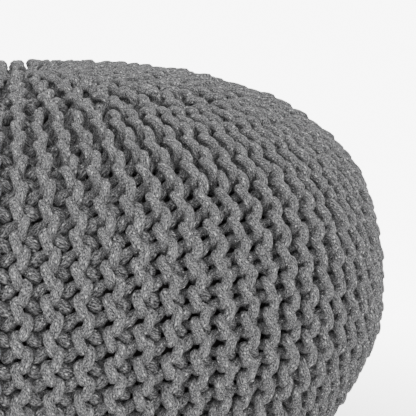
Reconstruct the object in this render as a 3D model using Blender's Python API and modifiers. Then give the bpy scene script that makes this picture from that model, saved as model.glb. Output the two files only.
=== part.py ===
"""Knitted pouf: a round filled floor cushion under a chunky knitted cover.

The cover is knitted sideways, so its ridges run like meridians from the gathered centre
of the top to the underside. It is one filled solid: a turned body, flat where it rests,
with a channel drawn in between each pair of neighbouring ridges.
Metres, +Z up, origin at the centre of the underside.
"""
import math

import bmesh
import bpy

# --- Driving dimensions ---------------------------------------------------------------
RADIUS = 0.250            # at the crests of the ridges, on the widest line
BELLY_HEIGHT = 0.1480     # the widest line above the floor
CROWN_RISE = 0.1580       # the top of the crown above the widest line
CROWN_SQUARENESS = 2.79   # exponent of the crown's curve: 2 is an ellipse, more is fuller
BELLY_DEPTH = 0.1940      # where the lower curve would close if the floor did not cut it
BELLY_SQUARENESS = 1.7    # exponent of the lower curve

RIDGES = 88               # garter ridges round the widest line
SHORT_EVERY = 2           # one ridge in this many is short and stops before the centre
CHANNEL_DEPTH = 0.0040    # between two ridges, from their crests
GATHER_DEPTH = 0.0085     # between two long ridges, where the short ridge has stopped
SHORT_RIDGE_START = 0.46  # share of the radius at which a short ridge begins
SHORT_RIDGE_RISE = 0.16   # share of the radius over which it comes up to full height
BASE_REACH = 0.60         # share of the radius within which the underside gathers too
VALLEY_SHARE = 0.55       # share of the gather depth on either side of a stopped short ridge
SHALLOW_REACH = 0.25      # share of the radius within which the channels run out
CENTRE_SHARE = 0.25       # share of the dimple's radius that stays smooth
BASE_TOLERANCE = 1e-6     # lower than this is the flat base

DIMPLE_RADIUS = 0.022     # the gathered centre of the top
DIMPLE_DEPTH = 0.012

CROWN_RINGS = 11          # from the rim of the dimple to the widest line
BELLY_RINGS = 8           # from the widest line to the floor

COVER_COLOUR = (0.205, 0.200, 0.192, 1.0)   # heathered grey cotton cord
COVER_ROUGHNESS = 0.92


def crown_point(turn):
    """A point of the crown's curve: turn 0 is the top centre, a quarter turn the widest line."""
    power = 2.0 / CROWN_SQUARENESS
    return (RADIUS * math.sin(turn) ** power,
            BELLY_HEIGHT + CROWN_RISE * math.cos(turn) ** power)


def belly_point(height):
    """The point of the lower curve at a height above the floor."""
    drop = (BELLY_HEIGHT - height) / BELLY_DEPTH
    reach = (1.0 - drop ** BELLY_SQUARENESS) ** (1.0 / BELLY_SQUARENESS)
    return RADIUS * reach, height


def profile_points():
    """The outline from the top centre down the outer side to the centre of the base."""
    rim_turn = math.asin((DIMPLE_RADIUS / RADIUS) ** (CROWN_SQUARENESS / 2.0))
    rim_height = crown_point(rim_turn)[1]
    points = [(0.0, rim_height - DIMPLE_DEPTH),
              (0.5 * DIMPLE_RADIUS, rim_height - 0.6 * DIMPLE_DEPTH)]
    for ring in range(CROWN_RINGS):
        share = ring / (CROWN_RINGS - 1)
        points.append(crown_point(rim_turn + share * (math.pi / 2 - rim_turn)))
    for ring in range(1, BELLY_RINGS + 1):
        swing = math.pi / 2 * ring / BELLY_RINGS
        height = BELLY_HEIGHT * (1.0 - math.sin(swing)) if ring < BELLY_RINGS else 0.0
        points.append(belly_point(height))
    points.append((0.0, 0.0))
    return points


def turned_body():
    """The profile turned about Z, with a crest and a valley column for every ridge."""
    mesh = bpy.data.meshes.new("pouf_profile")
    outline = [(radius, 0.0, height) for radius, height in profile_points()]
    edges = [(i, i + 1) for i in range(len(outline) - 1)]
    mesh.from_pydata(outline, edges, [])
    profile = bpy.data.objects.new("pouf_profile", mesh)
    bpy.context.scene.collection.objects.link(profile)

    screw = profile.modifiers.new("Turn", "SCREW")
    screw.axis = "Z"
    screw.angle = math.tau
    screw.steps = screw.render_steps = 2 * RIDGES
    screw.use_merge_vertices = True
    screw.merge_threshold = 0.00001

    bpy.context.view_layer.update()
    evaluated = profile.evaluated_get(bpy.context.evaluated_depsgraph_get())
    body = bpy.data.meshes.new_from_object(evaluated)
    bpy.data.objects.remove(profile)
    return body


def channel_depth(column, radius, height):
    """How far a column of the body is drawn in at a radius and height."""
    crest = column % 2 == 0
    short_ridge = crest and (column // 2) % SHORT_EVERY == 1
    if crest and not short_ridge:
        return 0.0

    # Near the gathered centres there is no room for a deep channel.
    room = min(1.0, radius / (SHALLOW_REACH * RADIUS))
    inner = 1.0
    if height > BELLY_HEIGHT or radius < BASE_REACH * RADIUS:
        start = SHORT_RIDGE_START * RADIUS
        inner = min(1.0, max(0.0, (radius - start) / (SHORT_RIDGE_RISE * RADIUS)))
    if short_ridge:
        return (1.0 - inner) * GATHER_DEPTH * room
    return (CHANNEL_DEPTH * inner + VALLEY_SHARE * GATHER_DEPTH * (1.0 - inner)) * room


def draw_in_channels(mesh):
    """Pull the valley columns into the body, at right angles to its surface."""
    work = bmesh.new()
    work.from_mesh(mesh)
    bmesh.ops.recalc_face_normals(work, faces=work.faces)
    work.normal_update()
    column_angle = math.pi / RIDGES
    moves = []
    for vert in work.verts:
        radius = math.hypot(vert.co.x, vert.co.y)
        if radius < CENTRE_SHARE * DIMPLE_RADIUS:
            continue
        column = round(math.atan2(vert.co.y, vert.co.x) / column_angle) % (2 * RIDGES)
        depth = channel_depth(column, radius, vert.co.z)
        inward = -vert.normal
        if vert.co.z < BASE_TOLERANCE:
            inward.z = 0.0      # the base stays flat
            inward.normalize()
        moves.append((vert, inward * depth))
    for vert, move in moves:
        vert.co += move
    bmesh.ops.triangulate(work, faces=work.faces)
    work.to_mesh(mesh)
    work.free()


def cover_material():
    material = bpy.data.materials.new("heathered_cotton_cord")
    material.use_nodes = True
    shader = material.node_tree.nodes["Principled BSDF"]
    shader.inputs["Base Color"].default_value = COVER_COLOUR
    shader.inputs["Roughness"].default_value = COVER_ROUGHNESS
    shader.inputs["Metallic"].default_value = 0.0
    return material


def build():
    for item in list(bpy.data.objects):
        bpy.data.objects.remove(item)
    collection = bpy.data.collections.new("knitted_pouf")
    bpy.context.scene.collection.children.link(collection)

    mesh = turned_body()
    draw_in_channels(mesh)
    mesh.name = "knitted_pouf"
    mesh.materials.append(cover_material())
    mesh.shade_smooth()
    pouf = bpy.data.objects.new("knitted_pouf", mesh)
    collection.objects.link(pouf)


build()
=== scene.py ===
"""Knitted pouf, looks: a chunky garter-stitch cover, stitch by stitch, over a dark filled bag.

The cover is knitted sideways. Its rows run like meridians from the gathered centre of the
top to the gathered centre of the underside, and each pair of rows makes one ridge. Some
pairs are short: they stop before the gathered centres, which shapes the round ends.
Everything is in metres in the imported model's frame.
"""

import math

import bmesh
import bpy
import numpy as np
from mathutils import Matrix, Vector


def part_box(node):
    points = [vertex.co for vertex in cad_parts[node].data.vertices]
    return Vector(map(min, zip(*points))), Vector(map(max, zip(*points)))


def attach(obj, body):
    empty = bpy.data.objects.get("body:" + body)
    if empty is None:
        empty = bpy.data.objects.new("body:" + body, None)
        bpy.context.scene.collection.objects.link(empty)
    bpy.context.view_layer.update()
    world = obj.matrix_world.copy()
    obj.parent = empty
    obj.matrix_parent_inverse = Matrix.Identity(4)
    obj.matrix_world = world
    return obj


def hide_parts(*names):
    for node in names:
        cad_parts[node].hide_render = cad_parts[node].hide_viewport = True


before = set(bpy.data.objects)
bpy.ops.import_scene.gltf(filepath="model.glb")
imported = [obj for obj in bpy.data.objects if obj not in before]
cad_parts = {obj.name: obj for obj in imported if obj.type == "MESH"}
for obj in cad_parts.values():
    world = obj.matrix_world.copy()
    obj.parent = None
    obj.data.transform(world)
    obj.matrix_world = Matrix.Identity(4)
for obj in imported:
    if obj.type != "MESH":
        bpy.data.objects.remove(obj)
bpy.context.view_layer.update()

# --- The cover's outer form, from the frame's box --------------------------------------
LOW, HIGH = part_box("knitted_pouf")
RADIUS = (HIGH.x - LOW.x) / 2           # at the crests of the ridges, on the widest line
HEIGHT = HIGH.z - LOW.z
BELLY_HEIGHT = 0.1480                   # the widest line above the floor
CROWN_RISE = HEIGHT - BELLY_HEIGHT
CROWN_SQUARENESS = 2.79                 # exponent of the crown's curve: 2 is an ellipse
BELLY_DEPTH = 0.1940                    # where the lower curve would close below the floor
BELLY_SQUARENESS = 1.7                  # exponent of the lower curve
DIMPLE_RADIUS = 0.026                   # the gathered centre of the top
DIMPLE_DEPTH = 0.020
CROWN_POINTS = 500                      # points worked out on each stretch of the outline
BELLY_POINTS = 300
BASE_POINTS = 120
OUTLINE_POINTS = 1400                   # points of the whole outline, evenly spaced
NORMAL_BLEND = 21                       # outline points over which its direction is evened out

# --- The knit --------------------------------------------------------------------------
RIDGES = 88                             # garter ridges round the widest line
CORD = 0.0066                           # thickness of the cord
WIDE_STITCH = 0.0188                    # stitch length where the ridges are widest apart
LONG_STITCH = 0.0230                    # the longest stitch, where they crowd together
STRETCH = 1.3                           # stitch length gained for each metre of ridge spacing lost
CROWDING = ((0.565, 2), (0.26, 4))      # within so many radii of an end, one ridge in so many is left
STITCH_BLEND = 61                       # outline points over which the stitch length changes
PROUD = 0.0010                          # the cords' crests stand this far outside the filled form
RELIEF = 0.0074                         # crest and valley lie this far outside and inside the middle
SIDES = 7                               # sides of the cord
FRONT_POINTS = 12                       # points of the centreline on a stitch's visible part
BACK_POINTS = 4                         # and on its hidden part
STRIP = 0.050                           # from one cord's strip in the UV map to the next
PANEL = 8                               # ridges in a panel

# A ridge whose number isn't a multiple of the first value starts at the second value's stitch.
#             every  stitch
SHORT_ROWS = ((2, 7.0), (4, 3.0), (8, 1.0))
NEXT_LONG = 8                           # ridges from one that reaches the centre to the next
RISE_EARLY = 1.0                        # neighbours begin to make room so many stitches before a start
RISE = 1.2                              # and have made it over so many stitches

# One stitch of the ridge's right-hand row, from the elbow of its upper leg in the valley on the
# left, under the other row, over the ridge and back below. Along the row it is measured in
# stitches from the loop's middle, across it in ridge spacings from the ridge's line, and
# outward in shares of the relief. Thick is the cord's share of its full thickness.
#           along  across   out   thick
LOOP = (( 0.05, -0.53, -0.18, 1.24),
        (-0.08, -0.38,  0.00, 1.24),
        (-0.21, -0.13, -0.10, 0.96),
        (-0.27,  0.12,  0.62, 0.95),
        (-0.18,  0.21,  0.86, 0.98),
        ( 0.01,  0.14,  1.00, 1.00),
        ( 0.20,  0.06,  0.97, 1.00),
        ( 0.33,  0.00,  0.25, 0.95),
        ( 0.36, -0.18, -0.70, 0.92),
        ( 0.34, -0.40, -0.95, 0.92),
        ( 0.38, -0.66, -1.00, 1.00),
        ( 0.64, -0.74, -1.00, 1.00),
        ( 0.92, -0.66, -0.75, 1.08))
LEG_REACH = (1.0, 0.95)                 # the second row's legs stay a little closer to its ridge
LEG_SINK = 1.6                          # how much deeper the legs lie where the ridges crowd
SINK_REACH = 0.25                       # ridge spacings from the ridge where they are fully sunk
VALLEY = 0.5                            # ridge spacings from a ridge to the valley beside it
GATHER_RELIEF = 0.30                    # share of the relief left at the gathered centres
GATHER_REACH = 0.110                    # and the radius at which it is full again
FRONT_KNOTS = 7.5                       # the visible part's share of the table's rows

UNEVEN = (0.030, 0.022, 0.10, 0.035)    # how far stitches vary, in the table's columns
UNEVEN_LIMIT = 2                        # none varies by more than so many times that
UNEVEN_TURNS = 2                        # how often the difference is drawn anew within a stitch
LEAST_ROOM = 0.4                        # ridges never count as closer than this share of the widest
NARROWING = 1.5                         # exponent by which a ridge narrows with its room
THINNING = 0.35                         # and by which its cord thins
END_GAP = 0.15                          # stitches left open at the gathered centres
LEAST_RADIUS = 0.004                    # of the ring that the centre's stitches close up to

# --- The inner bag ---------------------------------------------------------------------
BAG_GAP = 0.0005                        # between the bag and the innermost cords
BAG_LIFT = 0.8 * CORD                   # the bag's underside above the floor
BAG_POINTS = 90                         # points of its outline
BAG_STEPS = 96                          # sides of its turned form
MERGE = 1e-5                            # points closer than this become one

# --- Colours and patterns --------------------------------------------------------------
#                from the yarn's darkest fibres to its palest
YARN_SHADES = ((0.28, "#323233"), (0.42, "#666667"), (0.55, "#8c8c8d"), (0.72, "#d0d0d0"))
TWIST = 0.40                            # radians by which plies and fibres slant to the cord
PLY = (0.0060, 0.0015, 1)               # plies 1.5 mm wide that wind slowly round the cord
TUFT = (0.0010, 0.0007, 1)              # single fibres are too fine to show: tufts of 1 by 0.7 mm
PLY_WEIGHT = 0.35                       # the plies' share against the tufts
FLECK = "#f2f2f2"
FLECK_CELL = (0.0070, 0.0050, 1)        # a near-white fibre end in every 7 by 5 mm
FLECK_TURN = 0.30                       # radians by which their rows slant to the cord
FLECK_EDGE = ((0.05, "#ffffff"), (0.10, "#000000"))   # where an end fades, in shares of its cell
BAG_SHADES = ((0.3, "#413e3c"), (0.7, "#5f5b59"))
THREAD = 0.0005                         # threads of the bag's plain weave lie this far apart

# --- Ground, light and camera ----------------------------------------------------------
FLOOR_SIZE = 60
FLOOR_GLOW = 7.0
PAINTED_SHADOW_GLOW = 0.25                      # painted shadow: the floor's share of its glow kept under the piece
PAINTED_SHADOW_START = 0.5 * RADIUS              # the painted shadow is full inside this radius
PAINTED_SHADOW_REACH = 0.75                      # and gone outside this one
BACKDROP = 9                            # what the camera sees behind the piece
TENT_FRONT = 0.95                       # the light of the white tent from the viewer's side and above
TENT_BACK = 2.55                        # and from low behind the piece
LOW_BEHIND = (0, 1, -1)                 # the way that the stronger light comes from
FRONT_LIGHT = 13.5                      # watts
LAMP_PLACE = (-0.5, -2.2, 0.9)
LAMP_AIM = (0, 0, 0.15)
LAMP_SIZE = 1.6
LENS = 154.7                            # millimetres
SENSOR = 36                             # millimetres
NEAREST = 0.01                          # nothing nearer to the camera than this shows
VIEW_REACH = 5 * RADIUS                 # from the middle of the widest line
VIEW_ELEVATION = 11                     # degrees above it
TILT_UP = 2.612                         # degrees by which the camera looks above that middle
PAN_RIGHT = 6.087                       # and to the right of it

rng = np.random.default_rng(41)


# --- Small helpers ---------------------------------------------------------------------
def linear(code):
    """An sRGB hex colour as linear RGBA."""
    parts = [int(code[i:i + 2], 16) / 255 for i in (1, 3, 5)]
    return [c / 12.92 if c <= 0.04045 else ((c + 0.055) / 1.055) ** 2.4 for c in parts] + [1.0]


def add(tree, kind, settings=None, inputs=None, stops=()):
    """A node with its settings and its inputs: a socket is linked, and any other value is set.
    Stops are a colour ramp's positions and colours, in order."""
    node = tree.nodes.new(kind)
    for name, value in (settings or {}).items():
        setattr(node, name, value)
    for name, value in (inputs or {}).items():
        if isinstance(value, bpy.types.NodeSocket):
            tree.links.new(value, node.inputs[name])
        else:
            node.inputs[name].default_value = value
    for _ in stops[2:]:
        node.color_ramp.elements.new(0.5)
    for number, (position, code) in enumerate(stops):
        node.color_ramp.elements[number].position = position
        node.color_ramp.elements[number].color = linear(code)
    return node


def ease(x):
    """A smooth step from 0 to 1."""
    x = np.clip(x, 0.0, 1.0)
    return x * x * (3 - 2 * x)


def evened(values, width):
    """Values averaged over this many neighbours."""
    weights = np.hanning(width + 2)[1:-1]
    return np.convolve(np.pad(values, width // 2, mode="edge"), weights / weights.sum(), "valid")


# --- Outline ---------------------------------------------------------------------------
def outline():
    """The outer envelope from the top centre to the bottom centre as (arc, radius, height, normal)."""
    turn = np.linspace(0, math.pi / 2, CROWN_POINTS)
    r = RADIUS * np.sin(turn) ** (2 / CROWN_SQUARENESS)
    z = BELLY_HEIGHT + CROWN_RISE * np.cos(turn) ** (2 / CROWN_SQUARENESS)
    drop = np.sin(np.linspace(0, math.pi / 2, BELLY_POINTS))[1:] * BELLY_HEIGHT / BELLY_DEPTH
    r_low = RADIUS * (1 - drop ** BELLY_SQUARENESS) ** (1 / BELLY_SQUARENESS)
    z_low = BELLY_HEIGHT - drop * BELLY_DEPTH
    r_base = np.linspace(r_low[-1], 0, BASE_POINTS)[1:]
    r = np.concatenate([r, r_low, r_base])
    z = np.concatenate([z, z_low, 0 * r_base])
    arc = np.concatenate([[0], np.cumsum(np.hypot(np.diff(r), np.diff(z)))])
    even = np.linspace(0, arc[-1], OUTLINE_POINTS)
    r, z = np.interp(even, arc, r), np.interp(even, arc, z)
    # the gathered centre sinks into the crown
    sink = DIMPLE_DEPTH * np.exp(-(r / DIMPLE_RADIUS) ** 2) * (even < arc[-1] / 2)
    z = z - sink
    arc = np.concatenate([[0], np.cumsum(np.hypot(np.diff(r), np.diff(z)))])
    slope_r, slope_z = np.gradient(r, arc), np.gradient(z, arc)
    nr, nz = evened(-slope_z, NORMAL_BLEND), evened(slope_r, NORMAL_BLEND)
    size = np.hypot(nr, nz)
    return arc, r, z, nr / size, nz / size


ARC, ARC_R, ARC_Z, ARC_NR, ARC_NZ = outline()
LENGTH = ARC[-1]
RIDGE_STEP = math.tau / RIDGES


def stitch_scale():
    """Stitch count along the arc: stitches grow longer where the ridges crowd together."""
    pitch = RIDGE_STEP * ARC_R
    from_end = np.minimum(ARC, LENGTH - ARC)
    spacing = pitch
    for reach, ridges in CROWDING:
        spacing = np.where(from_end < reach * RADIUS, ridges * pitch, spacing)
    stitch = WIDE_STITCH + STRETCH * (RIDGE_STEP * RADIUS - spacing)
    stitch = evened(np.clip(stitch, WIDE_STITCH, LONG_STITCH), STITCH_BLEND)
    count = np.concatenate([[0], np.cumsum(np.diff(ARC) * 2 / (stitch[1:] + stitch[:-1]))])
    whole = round(count[-1])
    return count * whole / count[-1], whole


ARC_STITCH, STITCHES = stitch_scale()


def surface(arc, out):
    """Radius and height of a point at an arc length, this far outside the envelope."""
    r, z = np.interp(arc, ARC, ARC_R), np.interp(arc, ARC, ARC_Z)
    nr, nz = np.interp(arc, ARC, ARC_NR), np.interp(arc, ARC, ARC_NZ)
    return r + out * nr, z + out * nz


# --- Where each ridge starts and stops ---------------------------------------------------
def first_stitch(ridge):
    """The stitch at which a ridge starts, from the top: every second ridge is the shortest."""
    for every, stitch in SHORT_ROWS:
        if ridge % every:
            return stitch
    return 0.0


def present(ridge, stitch):
    """How much of a ridge is there at a stitch count from the top: 0 before it starts, 1 after."""
    near_end = np.minimum(stitch, STITCHES - stitch)
    return ease((near_end - first_stitch(ridge) + RISE_EARLY) / RISE)


def neighbour_offset(ridge, side, stitch):
    """Angle, in ridge steps, from a ridge to the valley on one side of it."""
    offset = np.zeros_like(stitch)
    missing = np.ones_like(stitch)
    for step in range(1, NEXT_LONG + 1):
        there = present((ridge + side * step) % RIDGES, stitch)
        offset += missing * there * step / 2
        missing *= 1 - there
    return side * offset


def loop_curve():
    """The stitch's points: a closed smooth curve through the table's rows."""
    knots = np.array(LOOP)
    front = np.linspace(0, FRONT_KNOTS, FRONT_POINTS, endpoint=False)
    back = np.linspace(FRONT_KNOTS, len(knots), BACK_POINTS, endpoint=False)
    where = np.concatenate([front, back])
    first = where.astype(int)
    part = (where - first)[:, None]
    step = np.array([1.0, 0, 0, 0])

    def knot(i):
        return knots[i % len(knots)] + (i // len(knots))[:, None] * step

    p0, p1, p2, p3 = (knot(first + i) for i in (-1, 0, 1, 2))
    return 0.5 * (2 * p1 + (p2 - p0) * part + (2 * p0 - 5 * p1 + 4 * p2 - p3) * part ** 2
                  + (3 * p1 - p0 - 3 * p2 + p3) * part ** 3)


STITCH = loop_curve()


def uneven(count):
    """Small differences from stitch to stitch, running smoothly along the row."""
    draws = (UNEVEN_TURNS * count + 3, len(UNEVEN))
    knots = rng.normal(0, 1, draws).clip(-UNEVEN_LIMIT, UNEVEN_LIMIT)
    where = np.arange(count * len(STITCH)) / len(STITCH) * UNEVEN_TURNS
    first = where.astype(int)
    part = ease(where - first)[:, None]
    return (knots[first] * (1 - part) + knots[first + 1] * part) * UNEVEN


def row_points(ridge, second):
    """The centreline and thickness of one row of stitches. The first row's loops stand on the
    right of the ridge, the second row's on its left, and each reaches back beyond the other."""
    first = first_stitch(ridge)
    count = int(round(STITCHES - 2 * first))
    each = np.tile(STITCH, (count, 1)) + uneven(count)
    number = np.repeat(np.arange(count), len(STITCH))
    half = 0.5 if second else 0.0
    stitch = first + 0.5 + half + number + each[:, 0]
    arc = np.interp(np.clip(stitch, END_GAP, STITCHES - END_GAP), ARC_STITCH, ARC)
    radius = np.maximum(surface(arc, -RELIEF)[0], LEAST_RADIUS)
    side = -1 if second else 1
    valley = neighbour_offset(ridge, -side, stitch)
    spacing = 2 * np.abs(valley) * RIDGE_STEP * radius
    room = np.clip(spacing / (RIDGE_STEP * RADIUS), LEAST_ROOM, 1.0)
    across = np.where(each[:, 1] < 0, LEG_REACH[1 if second else 0], 1.0) * each[:, 1]
    # near the ridge, across keeps its width; at the valley, it is a share of the way there
    near = across * RIDGE_STEP * RADIUS * room ** NARROWING / radius
    far = across * 2 * np.abs(valley) * RIDGE_STEP
    share = np.clip(-across / VALLEY, 0, 1)
    angle = ridge * RIDGE_STEP + side * (near + (far - near) * share)
    sunk = LEG_SINK * (1 - room) * np.clip(-across / SINK_REACH, 0, 1)
    below = 1 - np.maximum(each[:, 2] - sunk, -1.0)
    out = RELIEF * (1 - below * (GATHER_RELIEF + (1 - GATHER_RELIEF) * ease(radius / GATHER_REACH)))
    return np.column_stack([place(arc, angle, out), each[:, 3] * room ** THINNING])


def place(arc, angle, out):
    """Points in space, with the cord's crests just proud of the outline and its base on the floor."""
    r, z = surface(arc, out - RELIEF - CORD / 2 + PROUD)
    z = np.maximum(z, CORD / 2)
    return np.stack([r * np.sin(angle), -r * np.cos(angle), z], -1)


def ridge_line(ridge):
    """One closed loop of yarn: down the first row and back up the second."""
    down = row_points(ridge, False)
    up = row_points(ridge, True)
    return np.concatenate([down, up[::-1]])


def cord_mesh(points, strip):
    """A round cord along a closed line. Its UV map "cord" is in metres, along the cord and
    round it, and each cord has a strip of its own there, so that no two look the same."""
    line = bpy.data.curves.new("line", "CURVE")
    line.dimensions = "3D"
    line.bevel_mode = "OBJECT"
    line.bevel_object = CORD_SECTION
    spline = line.splines.new("POLY")
    spline.points.add(len(points) - 1)
    spline.points.foreach_set("co", np.column_stack([points[:, :3], np.ones(len(points))]).ravel())
    spline.points.foreach_set("radius", points[:, 3])
    spline.use_cyclic_u = True
    holder = bpy.data.objects.new("line", line)
    bpy.context.scene.collection.objects.link(holder)
    bpy.context.view_layer.update()
    swept = holder.evaluated_get(bpy.context.evaluated_depsgraph_get())
    mesh = bpy.data.meshes.new_from_object(swept)
    bpy.data.objects.remove(holder)
    bpy.data.curves.remove(line)
    run = np.linalg.norm(np.diff(points[:, :3], axis=0, append=points[:1, :3]), axis=1)
    run = np.concatenate([[0], np.cumsum(run)])
    layer = mesh.uv_layers[0]
    layer.name = "cord"
    uv = np.empty(2 * len(mesh.loops))
    layer.uv.foreach_get("vector", uv)
    uv[0::2] = np.interp(uv[0::2] * len(points), np.arange(len(run)), run)
    uv[1::2] = uv[1::2] * math.pi * CORD + strip * STRIP
    layer.uv.foreach_set("vector", uv)
    return mesh


def cord_section():
    """The round section that is swept along every cord."""
    ring = bpy.data.curves.new("cord_section", "CURVE")
    ring.dimensions = "2D"
    spline = ring.splines.new("POLY")
    spline.points.add(SIDES - 1)
    for i, point in enumerate(spline.points):
        turn = math.tau * i / SIDES
        point.co = (CORD / 2 * math.cos(turn), CORD / 2 * math.sin(turn), 0, 1)
    spline.use_cyclic_u = True
    holder = bpy.data.objects.new("cord_section", ring)
    bpy.context.scene.collection.objects.link(holder)
    return holder


CORD_SECTION = cord_section()


# --- Materials -------------------------------------------------------------------------
def yarn_material():
    """Recycled cotton cord, soft and loosely twisted from grey, dark and a few near-white
    fibres: dead matt and a little fuzzy, with faint plies that wind along the cord."""
    material = bpy.data.materials.new("heathered_cotton_cord")
    material.use_nodes = True
    tree = material.node_tree
    shader = tree.nodes["Principled BSDF"]
    cord = add(tree, "ShaderNodeUVMap", {"uv_map": "cord"}).outputs["UV"]
    # each map lays out the cord's length and girth in units of one ply, tuft or fibre end
    units = {"vector_type": "TEXTURE"}
    flat = {"noise_dimensions": "2D"}
    ply_map = add(tree, "ShaderNodeMapping", units,
                  {"Vector": cord, "Rotation": (0, 0, TWIST), "Scale": PLY})
    plies = add(tree, "ShaderNodeTexNoise", flat,
                {"Vector": ply_map.outputs["Vector"], "Scale": 1.0, "Detail": 1.0, "Roughness": 0.5})
    tuft_map = add(tree, "ShaderNodeMapping", units,
                   {"Vector": cord, "Rotation": (0, 0, TWIST), "Scale": TUFT})
    tufts = add(tree, "ShaderNodeTexNoise", flat,
                {"Vector": tuft_map.outputs["Vector"], "Scale": 1.0, "Detail": 1.0, "Roughness": 0.6})
    both = add(tree, "ShaderNodeMath", {"operation": "MULTIPLY_ADD"},
               {0: plies.outputs["Fac"], 1: PLY_WEIGHT, 2: tufts.outputs["Fac"]})
    mean = add(tree, "ShaderNodeMath", {"operation": "MULTIPLY"},
               {0: both.outputs["Value"], 1: 1 / (1 + PLY_WEIGHT)})
    body = add(tree, "ShaderNodeValToRGB", None, {"Fac": mean.outputs["Value"]}, YARN_SHADES)
    fleck_map = add(tree, "ShaderNodeMapping", units,
                    {"Vector": cord, "Rotation": (0, 0, FLECK_TURN), "Scale": FLECK_CELL})
    ends = add(tree, "ShaderNodeTexVoronoi", {"voronoi_dimensions": "2D"},
               {"Vector": fleck_map.outputs["Vector"], "Scale": 1.0})
    pale = add(tree, "ShaderNodeValToRGB", None, {"Fac": ends.outputs["Distance"]}, FLECK_EDGE)
    colour = add(tree, "ShaderNodeMix", {"data_type": "RGBA"},
                 {0: pale.outputs["Color"], 6: body.outputs["Color"], 7: linear(FLECK)})
    tree.links.new(colour.outputs[2], shader.inputs["Base Color"])
    bump = add(tree, "ShaderNodeBump", None,
               {"Height": both.outputs["Value"], "Strength": 1.0, "Distance": 0.0008})
    tree.links.new(bump.outputs["Normal"], shader.inputs["Normal"])
    shader.inputs["Roughness"].default_value = 1.0
    shader.inputs["Specular IOR Level"].default_value = 0.08
    shader.inputs["Sheen Weight"].default_value = 0.07      # the fuzz
    shader.inputs["Sheen Roughness"].default_value = 0.40
    return material


def bag_material():
    """Woven polyester lining cloth of the filled bag, seen only as darkness between stitches."""
    material = bpy.data.materials.new("dark_lining_cloth")
    material.use_nodes = True
    tree = material.node_tree
    shader = tree.nodes["Principled BSDF"]
    coords = add(tree, "ShaderNodeTexCoord")
    weave = add(tree, "ShaderNodeTexNoise", None,
                {"Vector": coords.outputs["Object"], "Scale": 1 / THREAD, "Detail": 1.0})
    shades = add(tree, "ShaderNodeValToRGB", None, {"Fac": weave.outputs["Fac"]}, BAG_SHADES)
    tree.links.new(shades.outputs["Color"], shader.inputs["Base Color"])
    bump = add(tree, "ShaderNodeBump", None,
               {"Height": weave.outputs["Fac"], "Strength": 0.5, "Distance": 0.0003})
    tree.links.new(bump.outputs["Normal"], shader.inputs["Normal"])
    shader.inputs["Roughness"].default_value = 0.9
    return material


# --- Pieces ----------------------------------------------------------------------------
def panel(name, ridges, material):
    """A panel of the cover: the cords of a few neighbouring ridges as one piece."""
    work = bmesh.new()
    for ridge in ridges:
        mesh = cord_mesh(ridge_line(ridge), ridge)
        work.from_mesh(mesh)
        bpy.data.meshes.remove(mesh)
    mesh = bpy.data.meshes.new(name)
    work.to_mesh(mesh)
    work.free()
    mesh.shade_smooth()
    mesh.materials.append(material)
    piece = bpy.data.objects.new(name, mesh)
    bpy.context.scene.collection.objects.link(piece)
    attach(piece, "root")


def inner_bag(material):
    """The filled bag just under the cords, a closed turned shape. It stands for the CAD's solid."""
    r, z = surface(np.linspace(0, LENGTH, BAG_POINTS), -(2 * RELIEF + CORD) - BAG_GAP)
    r[0] = r[-1] = 0
    z = np.maximum(z, BAG_LIFT)
    work = bmesh.new()
    verts = [work.verts.new((max(float(a), 0.0), 0, float(b))) for a, b in zip(r, z)]
    edges = [work.edges.new(pair) for pair in zip(verts[:-1], verts[1:])]
    bmesh.ops.spin(work, geom=verts + edges, cent=(0, 0, 0), axis=(0, 0, 1), angle=math.tau,
                   steps=BAG_STEPS, use_merge=True)
    bmesh.ops.remove_doubles(work, verts=work.verts, dist=MERGE)
    bmesh.ops.recalc_face_normals(work, faces=work.faces)
    mesh = bpy.data.meshes.new("inner_bag")
    work.to_mesh(mesh)
    work.free()
    mesh.shade_smooth()
    mesh.materials.append(material)
    piece = bpy.data.objects.new("inner_bag", mesh)
    bpy.context.scene.collection.objects.link(piece)
    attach(piece, "root")
    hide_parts("knitted_pouf")


# --- Ground, light and camera ----------------------------------------------------------
def seen_only(tree, strength):
    """A light strength that only the camera sees, so that a white ground doesn't flood the piece."""
    path = add(tree, "ShaderNodeLightPath")
    glow = add(tree, "ShaderNodeMath", {"operation": "MULTIPLY"},
               {0: path.outputs["Is Camera Ray"], 1: strength})
    return glow.outputs["Value"]


def white_floor():
    """A wide white floor that glows for the camera, with a painted shadow: its glow is dimmed a little
    round the piece.
    """
    bpy.ops.mesh.primitive_plane_add(size=FLOOR_SIZE, location=(0, 0, 0))
    floor = bpy.context.object
    floor.name = "floor"
    material = bpy.data.materials.new("white_floor")
    material.use_nodes = True
    tree = material.node_tree
    shader = tree.nodes["Principled BSDF"]
    shader.inputs["Base Color"].default_value = linear("#f4f4f4")
    shader.inputs["Roughness"].default_value = 0.9
    shader.inputs["Emission Color"].default_value = (1, 1, 1, 1)
    spot = add(tree, "ShaderNodeTexCoord")
    away = add(tree, "ShaderNodeVectorMath", {"operation": "LENGTH"}, {0: spot.outputs["Object"]})
    # painted shadow: the glow is dimmed near the piece, in place of the shadow that the piece casts
    painted_shadow = add(tree, "ShaderNodeMapRange", {"interpolation_type": "SMOOTHSTEP"},
                {"Value": away.outputs["Value"], "From Min": PAINTED_SHADOW_START, "From Max": PAINTED_SHADOW_REACH,
                 "To Min": PAINTED_SHADOW_GLOW, "To Max": 1.0})
    glow = add(tree, "ShaderNodeMath", {"operation": "MULTIPLY"},
               {0: seen_only(tree, FLOOR_GLOW), 1: painted_shadow.outputs["Result"]})
    tree.links.new(glow.outputs["Value"], shader.inputs["Emission Strength"])
    floor.data.materials.append(material)


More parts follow.
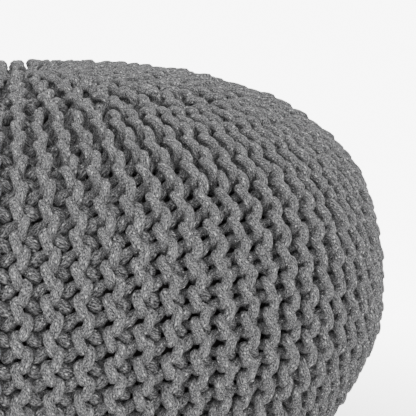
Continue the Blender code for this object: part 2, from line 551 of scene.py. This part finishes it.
def white_tent():
    """Soft light from all round, stronger from low behind the piece, before a white backdrop."""
    world = bpy.data.worlds.new("studio")
    bpy.context.scene.world = world
    world.use_nodes = True
    tree = world.node_tree
    back = tree.nodes["Background"]
    back.inputs["Color"].default_value = (1, 1, 1, 1)
    shown = seen_only(tree, BACKDROP - TENT_BACK)
    aim = add(tree, "ShaderNodeTexCoord")
    behind = add(tree, "ShaderNodeVectorMath", {"operation": "DOT_PRODUCT"},
                 {0: aim.outputs["Generated"], 1: LOW_BEHIND})
    tent = add(tree, "ShaderNodeMapRange", None,
               {"Value": behind.outputs["Value"], "From Min": -1.0, "From Max": 1.0,
                "To Min": TENT_FRONT, "To Max": TENT_BACK})
    total = add(tree, "ShaderNodeMath", {"operation": "ADD"}, {0: shown, 1: tent.outputs["Result"]})
    tree.links.new(total.outputs["Value"], back.inputs["Strength"])


def front_light():
    """A square lamp in front of the piece, up on its left."""
    data = bpy.data.lights.new("front", "AREA")
    data.shape = "SQUARE"
    data.size = LAMP_SIZE
    data.energy = FRONT_LIGHT
    holder = bpy.data.objects.new("front", data)
    holder.location = LAMP_PLACE
    holder.rotation_euler = (Vector(LAMP_AIM) - Vector(LAMP_PLACE)).to_track_quat("-Z", "Y").to_euler()
    bpy.context.scene.collection.objects.link(holder)


def camera():
    """A long lens, a little above the widest line and turned to the piece's right half."""
    data = bpy.data.cameras.new("camera")
    data.lens = LENS
    data.sensor_width = SENSOR
    data.clip_start = NEAREST
    holder = bpy.data.objects.new("camera", data)
    elevation = math.radians(VIEW_ELEVATION)
    holder.location = (0, -VIEW_REACH * math.cos(elevation),
                       BELLY_HEIGHT + VIEW_REACH * math.sin(elevation))
    holder.rotation_euler = (math.radians(90 - VIEW_ELEVATION + TILT_UP), 0, -math.radians(PAN_RIGHT))
    bpy.context.scene.collection.objects.link(holder)
    bpy.context.scene.camera = holder


# --- The whole pouf --------------------------------------------------------------------
yarn = yarn_material()
for number in range(RIDGES // PANEL):
    panel(f"knit_panel_{number + 1:02d}", range(number * PANEL, (number + 1) * PANEL), yarn)
inner_bag(bag_material())
bpy.data.objects.remove(CORD_SECTION)
white_floor()
white_tent()
front_light()
camera()
